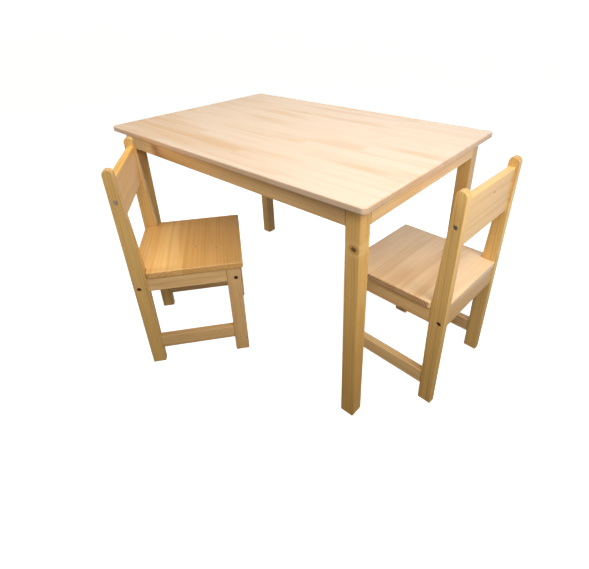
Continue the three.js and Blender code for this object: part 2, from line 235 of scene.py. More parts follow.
def block_lot(finish, along, across, staves):
    """Edge-glued staves of finger-jointed blocks: each block's own number, and the glue lines' mask."""
    row = (across - staves["line"]) / staves["width"]
    stave = row.floor()
    fingers = abs(((across / staves["finger"]).fraction() - 0.5)) * staves["finger_length"]
    run = (along + fingers) / staves["length"] + finish.chance(stave, 3.7, 1.3) * 7
    block = run.floor()
    edge_distance = (0.5 - abs(row.fraction() - 0.5)) * staves["width"]
    end_distance = (0.5 - abs(run.fraction() - 0.5)) * staves["length"]
    line = edge_distance.fall(0.1 * MM, 0.5 * MM) * 0.75 + end_distance.fall(0.1 * MM, 0.6 * MM) * 0.5
    return finish.chance(stave, block, 8.1), line


def knot_shape(finish, board, knots):
    """How near each point is to a knot: its heart, its dark and pale rings, its push on the grain."""
    heart, halo, rim, push = 0, 0, 0, 0
    for knot in knots:
        size = knot["radius"]
        away = finish.scaled(finish.vectors("SUBTRACT", board, knot["at"]), knot["stretch"])
        gap = finish.vectors("LENGTH", away, output="Value")
        gap = gap + (finish.noise(board, scale=260) - 0.5) * (0.7 * size)
        heart = gap.fall(0.55 * size, 1.0 * size) + heart
        halo = gap.rise(0.7 * size, 1.1 * size) * gap.fall(1.1 * size, 1.9 * size) + halo
        rim = gap.rise(1.4 * size, 2.0 * size) * gap.fall(2.0 * size, 3.2 * size) + rim
        push = gap.fall(0, 4.5 * size) * (1.6 * size) + push
    return heart, halo, rim, push


def pine(name, early, late, deep, ring_gap=4.6 * MM, rings=0.7, mottle=0.35, blotch=0.35, end=0.45, rim=0,
         coarse=1, fine=0.35, staves=None, heartwood=None, knots=(), sheen=0.45, roughness=0.46):
    """Lacquered pine. early and late are the wood within a ring, deep the colour of its darker streaks.

    rings, mottle, blotch, end and rim say how strongly the rings, streaks, clouds, end grain and the painted
    shade on a board's narrow faces show. coarse widens the streaks, and fine is the contrast of the fibres.
    """
    finish = Finish(name, Coat_Weight=sheen, Coat_Roughness=0.26, Coat_IOR=1.5, IOR=1.4)
    tree_place = finish.attribute("tree_place", "Vector")
    board = finish.attribute("board_place", "Vector")
    tone = finish.attribute("board_tone", "Fac")
    ends = finish.attribute("end_grain", "Fac")
    eased = finish.attribute("eased_edge", "Fac")
    glue = None
    board_along, board_across, _ = board.xyz()
    if staves:
        lot, glue = block_lot(finish, board_along, board_across, staves)
        tree_place = finish.vectors("ADD", tree_place, finish.scaled(lot.part("Color"), staves["shift"]))
        tone = tone + (lot - 0.5) * staves["spread"]
    heart, halo, knot_rim, push = knot_shape(finish, board, knots)

    def grown(scale, detail, roughness=0.5):
        return finish.noise(finish.scaled(tree_place, scale), detail=detail, roughness=roughness)

    # growth rings: distance from a pith that wanders slowly along the trunk
    wander = grown((1.5, 8, 8), 1.5)
    wander_across, wander_through, _ = wander.part("Color").xyz()
    _, across, through = tree_place.xyz()
    across = across + (wander_across - 0.5) * PITH_WANDER
    through = through + (wander_through - 0.5) * PITH_WANDER
    wobble = grown((9, 90, 90), 3, 0.6)
    radius = (across * across + through * through).root() + (wobble - 0.5) * RING_WOBBLE + push
    count = radius / ring_gap
    within = count.fraction()
    year = finish.chance(count.floor(), 2.2, 5.9)
    latewood = within.rise(0.35, 0.86) * within.fall(0.92, 1.0) * (0.35 + 0.65 * year)

    fibre = grown((22, 950, 950), 3, 0.65)
    streak = grown((2.2 / coarse, 120 / coarse, 120 / coarse), 3, 0.6)
    cloud = grown((3, 16, 16), 2)
    resin = grown((70, 1500, 1500), 1).rise(0.68, 0.76)

    colour = finish.mix(latewood * rings + (fibre - 0.5) * fine + (streak - 0.5) * 0.5, early, late)
    colour = finish.mix(streak.rise(0.5, 0.78) * mottle + cloud.rise(0.45, 0.75) * blotch, colour, deep)
    colour = finish.mix(resin * 0.35, colour, deep)
    if heartwood:
        band = abs(board_across - heartwood["line"]).fall(0, heartwood["width"])
        band = band * board_along.fall(*heartwood["fades"]) * (0.3 + streak.rise(0.35, 0.6) * 0.7)
        colour = finish.mix(band * heartwood["strength"], colour, deep)
    colour = finish.mix(tone.rise(0, 1) * 0.6, colour, deep)
    colour = finish.mix(ends * (end + (fibre - 0.5) * 0.6 + (latewood - 0.4) * end * 0.7), colour, END_GRAIN)
    # rim paints shade: a board's narrow faces are mixed towards deep, darker than its broad faces, as if they
    # got less light
    if rim:
        colour = finish.mix(finish.attribute("rim", "Fac") * rim, colour, deep)
    colour = finish.mix(eased * streak.rise(0.35, 0.7) * 0.2, colour, deep)
    if glue:
        colour = finish.mix(glue * 0.28, colour, KNOT_HALO)
    if knots:
        colour = finish.mix(knot_rim * 0.3, colour, KNOT_RIM)
        colour = finish.mix(halo * 0.35, colour, KNOT_HALO)
        colour = finish.mix(heart * (knots[0]["dark"] + (fibre - 0.5) * 0.5), colour, KNOT_HEART)
    finish.feed("Base Color", colour)
    finish.feed("Roughness", roughness + (fibre - 0.5) * 0.12 + ends * 0.14 - latewood * 0.06)
    relief = latewood * 0.45 + fibre * 0.5 + cloud * 1.5 - resin * 0.3
    if glue:
        relief = relief - glue * 0.8
    if knots:
        relief = relief + heart * 1.2
    finish.bump(relief, 0.12 * MM, 0.55)
    return finish.material


def steel(name, bright, dull, roughness, metallic=1.0):
    """Plated steel with fine turning marks and a little dust in cloudy patches."""
    finish = Finish(name, Metallic=metallic)
    at = finish.node("ShaderNodeTexCoord", output="Object")
    cloud = finish.noise(at, scale=180, detail=4)
    turning = finish.noise(finish.scaled(at, (900, 900, 5200)), detail=2)
    finish.feed("Base Color", finish.mix(cloud.rise(0.35, 0.7), bright, dull))
    finish.feed("Roughness", roughness + (cloud - 0.5) * 0.3 + (turning - 0.5) * 0.2)
    finish.bump(turning + cloud, 0.03 * MM, 0.5)
    return finish.material


KNOT_HALO = (0.36, 0.17, 0.045, 1)
KNOT_HEART = (0.085, 0.03, 0.002, 1)
KNOT_RIM = (0.86, 0.60, 0.26, 1)
END_GRAIN = (0.36, 0.17, 0.05, 1)


def wood_colours(early, late, deep):
    return {"early": (*early, 1), "late": (*late, 1), "deep": (*deep, 1)}


PINE_FRAME = wood_colours((0.79, 0.50, 0.165), (0.50, 0.245, 0.05), (0.44, 0.20, 0.032))
PINE_RAIL = wood_colours((0.83, 0.54, 0.24), (0.55, 0.30, 0.10), (0.49, 0.25, 0.075))
PINE_TOP = wood_colours((0.70, 0.545, 0.40), (0.62, 0.41, 0.235), (0.60, 0.36, 0.175))
PINE_SEAT = wood_colours((0.88, 0.53, 0.19), (0.66, 0.32, 0.07), (0.60, 0.26, 0.04))
PINE_BACK = wood_colours((0.87, 0.51, 0.13), (0.66, 0.32, 0.05), (0.55, 0.24, 0.03))
PINE_DULL_BACK = wood_colours((0.75, 0.47, 0.185), (0.56, 0.30, 0.085), (0.47, 0.23, 0.05))
# a paler, brighter copy of the seat pine for the right chair: partly a paler board, partly painted glare of
# the lacquer
PINE_SEAT_PALER_WITH_PAINTED_GLARE = wood_colours((0.98, 0.71, 0.42), (0.83, 0.49, 0.22), (0.70, 0.37, 0.13))
PINE_BLOCK = wood_colours((0.62, 0.39, 0.165), (0.44, 0.24, 0.08), (0.38, 0.20, 0.065))
PITH_WANDER = 26 * MM
RING_WOBBLE = 1.6 * MM

TOP_STAVES = {"width": 50 * MM, "line": 0, "length": 0.62, "finger": 5 * MM, "finger_length": 16 * MM,
              "shift": (9, 0.08, 0.05), "spread": 0.55}
TOP_HEARTWOOD = {"line": -228 * MM, "width": 60 * MM, "fades": (-0.15, 0.3), "strength": 0.75}
SEAT_STAVES = {"width": 62.5 * MM, "line": -13.5 * MM, "length": 2.0, "finger": 5 * MM,
               "finger_length": 0, "shift": (9, 0.08, 0.05), "spread": 0.5}


# ---- solids ----

AXES = {"x": (1, 2, 0), "y": (0, 2, 1), "z": (0, 1, 2)}  # the outline's two axes, then the one it runs along
GRAIN = {"x": (0, 1, 2), "y": (1, 0, 2), "z": (2, 0, 1)}  # along, across and through the board


def arc(centre, radius, start, end, steps=8):
    """Points round a corner, with the angles in degrees."""
    turns = [math.radians(start + (end - start) * i / steps) for i in range(steps + 1)]
    return [(centre[0] + radius * math.cos(t), centre[1] + radius * math.sin(t)) for t in turns]


def rounded(low, high, radii):
    """A rectangle with its corners rounded: lower right, upper right, upper left, lower left."""
    corners = ((high[0], low[1]), high, (low[0], high[1]), low)
    outline = []
    for i, (corner, r) in enumerate(zip(corners, radii)):
        side, rise = (-1, -1, 1, 1)[i], (1, -1, -1, 1)[i]
        outline += arc((corner[0] + side * r, corner[1] + rise * r), r, 90 * i - 90, 90 * i)
    return outline


def prism(outline, span, axis):
    """A closed solid: an outline carried along an axis."""
    solid = bmesh.new()
    rings = []
    for at in span:
        ring = []
        for pair in outline:
            point = [0, 0, 0]
            for index, value in zip(AXES[axis], (*pair, at)):
                point[index] = value
            ring.append(solid.verts.new(point))
        rings.append(ring)
    first, last = rings
    solid.faces.new(first)
    solid.faces.new(reversed(last))
    for i, corner in enumerate(first):
        j = (i + 1) % len(first)
        solid.faces.new((corner, first[j], last[j], last[i]))
    bmesh.ops.recalc_face_normals(solid, faces=solid.faces)
    return solid


def block(low, high):
    outline = [(low[0], low[1]), (high[0], low[1]), (high[0], high[1]), (low[0], high[1])]
    return prism(outline, (low[2], high[2]), "z")


def ease(solid, radius, axis=None, steps=4):
    """Rounds the outer edges over, or only those that run along one axis."""
    chosen = []
    for edge in solid.edges:
        run = (edge.verts[1].co - edge.verts[0].co).normalized()
        along = axis is None or abs(run["xyz".index(axis)]) > 0.9
        if edge.calc_face_angle(0) > math.radians(35) and edge.is_convex and along:
            chosen.append(edge)
    bmesh.ops.bevel(solid, geom=chosen, offset=radius, segments=steps, profile=0.5, affect="EDGES")
    bmesh.ops.recalc_face_normals(solid, faces=solid.faces)
    return solid


def turned(profile, origin, direction, sides=32):
    """A solid of revolution: (distance, radius) pairs along a direction from the origin."""
    solid = bmesh.new()
    turn = Vector(direction).to_track_quat("Z", "Y").to_matrix().to_4x4()
    place = Matrix.Translation(origin) @ turn
    rings = []
    for distance, radius in profile:
        angles = [2 * math.pi * i / sides for i in range(sides)]
        points = [Vector((radius * math.cos(a), radius * math.sin(a), distance)) for a in angles]
        rings.append([solid.verts.new(place @ p) for p in points])
    for first, last in zip(rings, rings[1:]):
        for i in range(sides):
            j = (i + 1) % sides
            solid.faces.new((first[i], first[j], last[j], last[i]))
    solid.faces.new(rings[0])
    solid.faces.new(rings[-1])
    bmesh.ops.recalc_face_normals(solid, faces=solid.faces)
    return solid


def drilled(start, end, radius, origin, direction):
    """The round bar that a drill would cut away."""
    return turned([(start, radius), (end, radius)], origin, direction)


def extent(points):
    """The lowest and highest corner of the box round some points."""
    low = Vector([min(p[i] for p in points) for i in range(3)])
    high = Vector([max(p[i] for p in points) for i in range(3)])
    return low, high


def add(name, data):
    """A new object in the scene."""
    made = bpy.data.objects.new(name, data)
    bpy.context.scene.collection.objects.link(made)
    return made


def to_object(solid, name):
    mesh = bpy.data.meshes.new(name)
    solid.to_mesh(mesh)
    solid.free()
    return add(name, mesh)


def settle(made):
    """Turns the object's modifiers into its own plain mesh."""
    graph = bpy.context.evaluated_depsgraph_get()
    mesh = bpy.data.meshes.new_from_object(made.evaluated_get(graph))
    made.modifiers.clear()
    made.data = mesh
    return made


def carve(made, joins, cuts):
    """Joins and cuts other solids, one after another."""
    tools = []
    for operation, solids in (("UNION", joins), ("DIFFERENCE", cuts)):
        for solid in solids:
            tool = to_object(solid, "tool")
            change = made.modifiers.new("carve", "BOOLEAN")
            change.operation = operation
            change.solver = "EXACT"
            change.object = tool
            tools.append(tool)
    settle(made)
    for tool in tools:
        bpy.data.objects.remove(tool)


def store(mesh, name, kind, domain, values):
    """Keeps one value for each point or face of the mesh."""
    layer = mesh.attributes.new(name, kind, domain)
    if kind == "FLOAT_VECTOR":
        layer.data.foreach_set("vector", [number for value in values for number in value])
    else:
        layer.data.foreach_set("value", values)


def remember_grain(mesh, along, sawn, seed):
    """Stores where each point lay in the board and in the tree, and which faces are end grain or eased."""
    lot = random.Random(seed)
    order = GRAIN[along]
    points = [Vector([vertex.co[i] for i in order]) for vertex in mesh.vertices]
    low, high = extent(points)
    points = [p - (low + high) / 2 for p in points]
    near, far = (lot.uniform(-10, 10) * MM, lot.uniform(26, 60) * MM)
    pith = (near, far) if sawn == "flat" else (far * 1.4, near)
    trunk = Vector((lot.uniform(0, 30), *pith))
    shade = lot.uniform(-0.5, 0.5)
    normals = [face.normal.copy() for face in mesh.polygons]
    flat = [max(abs(part) for part in normal) > 0.995 for normal in normals]
    store(mesh, "board_place", "FLOAT_VECTOR", "POINT", points)
    store(mesh, "tree_place", "FLOAT_VECTOR", "POINT", [p + trunk for p in points])
    store(mesh, "board_tone", "FLOAT", "POINT", [shade] * len(points))
    store(mesh, "end_grain", "FLOAT", "FACE", [normal[order[0]] ** 2 for normal in normals])
    # rim is 1 on a board's narrow faces and 0 on its broad faces: pine() paints shade where it is 1
    store(mesh, "rim", "FLOAT", "FACE", [1 - normal[order[2]] ** 2 for normal in normals])
    store(mesh, "eased_edge", "FLOAT", "FACE", [0.0 if even else 1.0 for even in flat])


def smooth(made):
    """Rounds the shading of eased edges and keeps the flat faces flat."""
    mesh = made.data
    mesh.shade_smooth()
    mesh.set_sharp_from_angle(angle=math.radians(40))
    even = made.modifiers.new("even", "WEIGHTED_NORMAL")
    even.keep_sharp = True
    even.weight = 90
    return settle(made)


class Furniture:
    """One body of the set with a frame of its own, in which its boards lie square."""

    def __init__(self, body, place):
        self.body = body
        self.place = place
        self.home = place.inverted()

    def corners(self, node):
        """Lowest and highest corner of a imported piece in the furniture's own frame."""
        return extent([self.home @ v.co for v in frame["nodes"][node].data.vertices])

    def middle(self, node):
        low, high = self.corners(node)
        return (low + high) / 2

    def timber(self, node, solid, along, finish, slot, sawn="quarter", joins=(), cuts=()):
        """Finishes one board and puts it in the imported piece's place."""
        made = to_object(solid, f"{node}_timber")
        carve(made, joins, cuts)
        remember_grain(made.data, along, sawn, node)
        made.data.transform(self.place)
        smooth(made)
        made.data.materials.clear()
        made.data.materials.append(finish)
        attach(made, self.body)
        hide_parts(node)
        return made

    def hardware(self, name, tree, sizes, sites, slot, nodes=()):
        """Sets one kind of fastener at every site: (place, aim) pairs in the furniture's own frame."""
        mesh = bpy.data.meshes.new(name)
        mesh.from_pydata([self.place @ Vector(p) for p, _ in sites], [], [])
        aims = mesh.attributes.new("aim", "FLOAT_VECTOR", "POINT")
        for i, (_, aim) in enumerate(sites):
            aims.data[i].vector = self.place.to_3x3() @ Vector(aim)
        made = add(name, mesh)
        modifier = made.modifiers.new("fasteners", "NODES")
        modifier.node_group = tree
        for item in tree.interface.items_tree:
            if item.name in sizes:
                modifier[item.identifier] = sizes[item.name]
        settle(made)
        made.data.set_sharp_from_angle(angle=math.radians(30))
        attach(made, self.body)
        if nodes:
            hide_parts(*nodes)
        return made


# ---- fasteners, each drawn along +Z with its head's face at z = 0 ----

def fastener(name, build, sizes, finish):
    """A tree that sets one fastener on every point of a mesh, turned to the point's aim."""
    tree = bpy.data.node_groups.new(name, "GeometryNodeTree")
    tree.interface.new_socket("Geometry", in_out="INPUT", socket_type="NodeSocketGeometry")
    for size in sizes:
        tree.interface.new_socket(size, in_out="INPUT", socket_type="NodeSocketFloat")
    tree.interface.new_socket("Geometry", in_out="OUTPUT", socket_type="NodeSocketGeometry")
    graph = Graph(tree)
    points = graph.node("NodeGroupInput")
    part = build(graph, **{size.lower().replace(" ", "_"): points.part(size) for size in sizes})
    aim = graph.node("GeometryNodeInputNamedAttribute", {"Name": "aim"}, data_type="FLOAT_VECTOR")
    turn = graph.node("FunctionNodeAlignRotationToVector", {"Vector": aim}, axis="Z")
    sockets = {"Points": points, "Instance": part, "Rotation": turn}
    placed = graph.node("GeometryNodeInstanceOnPoints", sockets)
    real = graph.node("GeometryNodeRealizeInstances", {"Geometry": placed})
    done = graph.node("GeometryNodeSetMaterial", {"Geometry": real, "Material": finish})
    graph.node("NodeGroupOutput", {"Geometry": done})
    return tree


def shifted(graph, part, x, y, z):
    return graph.node("GeometryNodeTransform", {"Geometry": part, "Translation": graph.vector(x, y, z)})


def rod(graph, low, high, radius, radius_high=None, sides=32):
    """A round or many-sided bar along Z, straight or tapered."""
    sockets = {"Vertices": sides, "Radius Bottom": radius, "Depth": high - low}
    sockets["Radius Top"] = radius if radius_high is None else radius_high
    return shifted(graph, graph.node("GeometryNodeMeshCone", sockets), 0, 0, low)


def combine(graph, operation, first, *others):
    """A boolean join, cut or overlap of parts."""
    made = graph.tree.nodes.new("GeometryNodeMeshBoolean")
    made.operation = operation
    made.solver = "EXACT"
    if operation == "DIFFERENCE":
        graph.tree.links.new(first.socket, made.inputs["Mesh 1"])
    else:
        others = (first, *others)
    for other in reversed(others):
        graph.tree.links.new(other.socket, made.inputs["Mesh 2"])
    return Field(graph, made.outputs["Mesh"])


def socket_bolt(graph, head_radius, head_height, shank_radius, length, socket_radius, socket_depth):
    rim = head_radius * 0.1
    head = rod(graph, -1 * head_height, -1 * rim, head_radius)
    crown = rod(graph, -1.001 * rim, 0, head_radius, head_radius * 0.9)
    shank = rod(graph, -1 * (length + head_height), -0.75 * head_height, shank_radius)
    body = combine(graph, "UNION", head, crown, shank)
    return combine(graph, "DIFFERENCE", body, rod(graph, -1 * socket_depth, 1 * MM, socket_radius, sides=6))


def barrel_nut(graph, radius, length):
    body = rod(graph, -1 * length, 0, radius)
    slot = graph.node("GeometryNodeMeshCube", {"Size": (0.05, 1.4 * MM, 2.6 * MM)})
    return combine(graph, "DIFFERENCE", body, slot)


def threaded_rod(graph, radius, length, pitch):
    """A bar with a real helical thread, cut by moving the skin in and out."""
    steps = length / pitch * 4
    rings = steps.maths("ROUND", steps)
    sockets = {"Vertices": 16, "Side Segments": rings, "Radius Top": radius, "Radius Bottom": radius}
    bar = graph.node("GeometryNodeMeshCone", {**sockets, "Depth": length})
    x, y, z = graph.node("GeometryNodeInputPosition").xyz()
    turn = y.maths("ARCTAN2", y, x) / (2 * math.pi)
    depth = abs((z / pitch + turn).fraction() - 0.5) * 0.26
    shrink = 1 - depth
    threaded = graph.vector(x * shrink, y * shrink, z)
    cut = graph.node("GeometryNodeSetPosition", {"Geometry": bar, "Position": threaded})
    return shifted(graph, cut, 0, 0, -1 * length)


def nut_and_washer(graph, corner_radius, nut_height, washer_radius, washer_height, bore_radius):
    hexagon = rod(graph, -1 * nut_height, 0, corner_radius, sides=6)
    dome = rod(graph, -1.2 * nut_height, 0.02 * nut_height, corner_radius * 1.5, corner_radius * 0.9)
    nut = combine(graph, "INTERSECT", hexagon, dome)
    washer = rod(graph, -1 * (nut_height + washer_height), -0.98 * nut_height, washer_radius)
    body = combine(graph, "UNION", nut, washer)
    return combine(graph, "DIFFERENCE", body, rod(graph, -0.05, 0.05, bore_radius))


def wood_screw(graph, head_radius, shank_radius, length):
    head = rod(graph, -0.62 * head_radius, 0, shank_radius, head_radius, sides=24)
    shank = rod(graph, -0.85 * length, -0.5 * head_radius, shank_radius, sides=24)
    tip = rod(graph, -1 * length, -0.849 * length, shank_radius * 0.1, shank_radius, sides=24)
    body = combine(graph, "UNION", head, shank, tip)
    long, wide, deep = head_radius * 1.1, head_radius * 0.24, head_radius * 0.7
    arms = (graph.vector(long, wide, deep), graph.vector(wide, long, deep))
    cross = [graph.node("GeometryNodeMeshCube", {"Size": arm}) for arm in arms]
    return combine(graph, "DIFFERENCE", body, *cross)


# ---- table ----

def place_table():
    low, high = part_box("table_top")
    return Matrix.Translation(((low.x + high.x) / 2, (low.y + high.y) / 2, 0))


def table_boards(table, finishes):
    low, high = table.corners("table_top")
    outline = rounded(low.xy, high.xy, [TOP_CORNER] * 4)
    top = ease(prism(outline, (low.z, high.z), "z"), TOP_EDGE)
    table.timber("table_top", top, "x", finishes["top"], "top_pine", sawn="flat")

    leg_low = table.corners("table_leg_back_right")[0]
    for name, (x, y) in CORNERS.items():
        leg_node = f"table_leg_{name}"
        low, high = table.corners(leg_node)
        finish = finishes["knotted leg"] if name == "front_right" else finishes["frame"]
        cuts = [apron_tenons(table, apron, GAP) for apron in name.split("_")]
        cuts.append(hanger_bore(table, leg_low, x, y, "in leg"))
        leg = ease(block(low, high), LEG_EDGE)
        table.timber(leg_node, leg, "z", finish, "frame_pine", cuts=cuts)

    for name in ("front", "back", "left", "right"):
        node = f"table_apron_{name}"
        low, high = table.corners(node)
        axis = "x" if name in ("front", "back") else "y"
        along = "xyz".index(axis)
        high[along] = leg_low[along] - GAP
        low[along] = -high[along]
        board = ease(block(low, high), RAIL_EDGE, axis)
        joins = [apron_tenons(table, name)]
        table.timber(node, board, axis, finishes["rail"], "frame_pine", sawn="flat", joins=joins)


def apron_tenons(table, name, grow=0):
    """The bar through an apron from one tenon to the other, or with grow = GAP its mortises."""
    low, high = table.corners(f"table_apron_{name}")
    across = 1 if name in ("front", "back") else 0
    middle = (low[across] + high[across]) / 2
    low, high = low - Vector([grow] * 3), high + Vector([grow] * 3)
    low[across] = middle - APRON_TENON["thickness"] / 2 - grow
    high[across] = middle + APRON_TENON["thickness"] / 2 + grow
    low.z += APRON_TENON["inset"]
    high.z -= APRON_TENON["inset"]
    return block(low, high)


def diagonal(table, leg_low, x, y, inwards):
    """A point on a corner's diagonal, so far inwards from the leg's inner corner, halfway up the apron."""
    step = inwards / math.sqrt(2)
    return Vector((x * (leg_low.x - step), y * (leg_low.y - step), table.middle("table_apron_back").z))


def hanger_bore(table, leg_low, x, y, where):
    """The hole for a hanger bolt, in the leg or through the corner block."""
    if where == "in leg":
        start, length, radius = OVERRUN, OVERRUN + HANGER_IN_LEG + GAP, HANGER["Radius"] + GAP
    else:
        start, length = BLOCK_STAND_OFF + BLOCK_THICKNESS + OVERRUN, BLOCK_THICKNESS + 2 * OVERRUN
        radius = HANGER["Radius"] + 2 * GAP
    outwards = Vector((x, y, 0)).normalized()
    return drilled(0, length, radius, diagonal(table, leg_low, x, y, start), outwards)


def head_hole(foot, sunk):
    """The pocket for a wood screw's head, drilled from below."""
    return drilled(-OVERRUN, sunk + SCREW_HOLE["spare"], SCREW_HOLE["head"], foot, UP)


def corner_blocks(table, finishes, trees):
    leg_low = table.corners("table_leg_back_right")[0]
    hangers, nuts, screws = [], [], []
    for name, (x, y) in CORNERS.items():
        node = f"corner_block_{name}"
        low, high = table.corners(node)
        face_x, face_y = max(abs(low.x), abs(high.x)), max(abs(low.y), abs(high.y))
        near = leg_low.x + leg_low.y - BLOCK_STAND_OFF * math.sqrt(2)
        far = near - BLOCK_THICKNESS * math.sqrt(2)
        outer, inner = (near - face_y, face_y), (far - face_y, face_y)
        outline = [(x * u, y * v) for u, v in (outer, (face_x, near - face_x), (face_x, far - face_x), inner)]
        cuts = [hanger_bore(table, leg_low, x, y, "block")]
        outwards = Vector((x, y, 0)).normalized()
        sideways = Vector((-y, x, 0)).normalized()
        middle = diagonal(table, leg_low, x, y, BLOCK_STAND_OFF + BLOCK_THICKNESS / 2)
        for way in (-1, 1):
            foot = middle + sideways * (way * BLOCK_SCREW_SIDEWAYS)
            foot.z = low.z
            cuts.append(head_hole(foot, BLOCK_SCREW_SUNK))
            cuts.append(drilled(0, high.z - low.z + OVERRUN, SCREW_HOLE["shank"], foot, UP))
            screws.append((foot + Vector((0, 0, BLOCK_SCREW_SUNK)), DOWN))
        solid = ease(prism(outline, (low.z, high.z), "z"), SAWN_EDGE, steps=2)
        table.timber(node, solid, "x", finishes["block"], "block_pine", cuts=cuts)
        tail = BLOCK_STAND_OFF + BLOCK_THICKNESS + HANGER_TAIL
        hangers.append((diagonal(table, leg_low, x, y, tail), -outwards))
        nut_face = BLOCK_STAND_OFF + BLOCK_THICKNESS + GAP
        nut_face += HANGER_NUT["Washer Height"] + HANGER_NUT["Nut Height"]
        nuts.append((diagonal(table, leg_low, x, y, nut_face), -outwards))
    sizes = {**HANGER, "Length": tail + HANGER_IN_LEG}
    nodes = [f"hanger_bolt_{name}" for name in CORNERS]
    table.hardware("table_hanger_bolts", trees["hanger"], sizes, hangers, "zinc_steel", nodes)
    nodes = [f"hanger_nut_{name}" for name in CORNERS]
    table.hardware("table_hanger_nuts", trees["nut"], HANGER_NUT, nuts, "zinc_steel", nodes)
    table.hardware("table_top_screws", trees["wood screw"], BLOCK_SCREW, screws, "zinc_steel")


# ---- chairs ----

def place_chair(name):
    """The chair's own frame: x forwards from the heels of its back posts, y to the sitter's left."""
    joint = next(j for j in frame["joints"] if j["child"] == name)
    turn = Matrix.Rotation(math.atan2(joint["axis"][1], joint["axis"][0]), 4, "Z")
    feet = []
    for side in SIDES:
        post = frame["nodes"][f"{name}_back_post_{side}"].data
        feet += [turn.inverted() @ v.co for v in post.vertices if v.co.z < 1 * MM]
    heel = min(p.x for p in feet)
    middle = (min(p.y for p in feet) + max(p.y for p in feet)) / 2
    return turn @ Matrix.Translation((heel, middle, 0))


class Chair(Furniture):
    """A chair's boards measured in its own frame."""

    def __init__(self, name):
        super().__init__(name, place_chair(name))
        self.name = name
        self.half_width = self.corners(f"{name}_back_post_left")[1].y
        self.inner = self.corners(f"{name}_back_post_left")[0].y
        self.head_seat = self.half_width - HEAD_SUNK - HEAD["Head Height"]

    def span(self, part):
        return self.corners(f"{self.name}_{part}")

    def centre(self, part):
        return self.middle(f"{self.name}_{part}")

    def bolt_hole(self, side, x, z, shank):
        """Counterbored hole through a side frame, drilled from outside."""
        mouth = self.half_width
        profile = [
            (self.inner - OVERRUN, shank + GAP),
            (self.head_seat - GAP, shank + GAP),
            (self.head_seat - GAP, COUNTERBORE_RADIUS),
            (mouth - COUNTERBORE_CHAMFER, COUNTERBORE_RADIUS),
            (mouth + COUNTERBORE_CHAMFER, COUNTERBORE_RADIUS + 2 * COUNTERBORE_CHAMFER),
            (mouth + OVERRUN, COUNTERBORE_RADIUS + 2 * COUNTERBORE_CHAMFER),
        ]
        return turned(profile, (x, 0, z), (0, SIDES[side], 0))

    def rail_bolt_hole(self, rail, side):
        """The hole for the bolt that holds one end of a cross rail."""
        height = self.centre(f"{rail}_bolt_{side}").z
        return self.bolt_hole(side, self.centre(rail).x, height, RAIL_BOLT["Shank Radius"])

    def tenons(self, side, rail, grow=0):
        """The bar through a side rail from one tenon to the other, or with grow = GAP its mortises."""
        low, high = self.span(f"{rail}_{side}")
        middle = SIDES[side] * (self.inner + self.half_width) / 2
        half = FRAME_TENON["thickness"] / 2 + grow
        inset = FRAME_TENON["inset"] - grow
        start = (low.x - grow, middle - half, low.z + inset)
        return block(start, (high.x + grow, middle + half, high.z - inset))


def back_post(chair, side, finishes):
    low, high = chair.span(f"back_post_{side}")
    radius = (POST_HEAD_FRONT - low.x) / 2
    centre = (low.x + radius, high.z - radius)
    outline = [(0, 0), (high.x, 0), (high.x, POST_TAPER_START), *arc(centre, radius, 0, 180, 16)]
    solid = ease(prism(outline, (low.y, high.y), "y"), FRAME_EDGE)
    cuts = [chair.tenons(side, rail, GAP) for rail in FRAME_RAILS]
    cuts.append(chair.rail_bolt_hole("back_rail", side))
    screw = chair.centre(f"backrest_screw_{side}")
    cuts.append(chair.bolt_hole(side, screw.x, screw.z, BACK_SCREW["Shank Radius"]))
    chair.timber(f"{chair.name}_back_post_{side}", solid, "z", finishes["frame"], "frame_pine", cuts=cuts)


def front_leg(chair, side, finishes):
    low, high = chair.span(f"front_leg_{side}")
    solid = ease(block(low, high), LEG_EDGE)
    cuts = [chair.tenons(side, rail, GAP) for rail in FRAME_RAILS]
    cuts.append(chair.rail_bolt_hole("front_rail", side))
    knotted = chair.name == "chair_left" and side == "right"
    finish = finishes["knotted chair leg"] if knotted else finishes["rail"]
    chair.timber(f"{chair.name}_front_leg_{side}", solid, "z", finish, "frame_pine", cuts=cuts)


def side_rails(chair, side, finishes):
    post_face = chair.span(f"back_post_{side}")[1].x
    leg_face = chair.span(f"front_leg_{side}")[0].x
    for rail in FRAME_RAILS:
        node = f"{chair.name}_{rail}_{side}"
        low, high = chair.corners(node)
        board = block((post_face + GAP, low.y, low.z), (leg_face - GAP, high.y, high.z))
        cuts = []
        if rail == "seat_rail":
            for x in SEAT_SCREW_PLACES:
                cuts.append(head_hole((x, (low.y + high.y) / 2, low.z), SEAT_SCREW_SUNK))
        joins = [chair.tenons(side, rail)]
        solid = ease(board, RAIL_EDGE, "x")
        chair.timber(node, solid, "x", finishes["rail"], "frame_pine", joins=joins, cuts=cuts)


def cross_rails(chair, finishes):
    for rail in ("front_rail", "back_rail"):
        node = f"{chair.name}_{rail}"
        low, high = chair.corners(node)
        x = (low.x + high.x) / 2
        cuts = []
        for side, sign in SIDES.items():
            bolt_low, bolt_high = chair.span(f"{rail}_bolt_{side}")
            z = (bolt_low.z + bolt_high.z) / 2
            tip = min(abs(bolt_low.y), abs(bolt_high.y)) - BORE_SPARE
            radius = RAIL_BOLT["Shank Radius"] + GAP
            cuts.append(drilled(tip, high.y + OVERRUN, radius, (x, 0, z), (0, sign, 0)))
            inwards = -1 if rail == "front_rail" else 1
            mouth, end = (low.x, bolt_high.x) if inwards < 0 else (high.x, bolt_low.x)
            start = (mouth + inwards * OVERRUN, sign * (chair.inner - BARREL_NUT_INSET), z)
            reach = OVERRUN + abs(end - mouth) + GAP
            cuts.append(drilled(0, reach, BARREL_NUT["Radius"] + GAP, start, (-inwards, 0, 0)))
        solid = ease(block(low, high), RAIL_EDGE, "y")
        chair.timber(node, solid, "y", finishes["rail"], "frame_pine", sawn="flat", cuts=cuts)


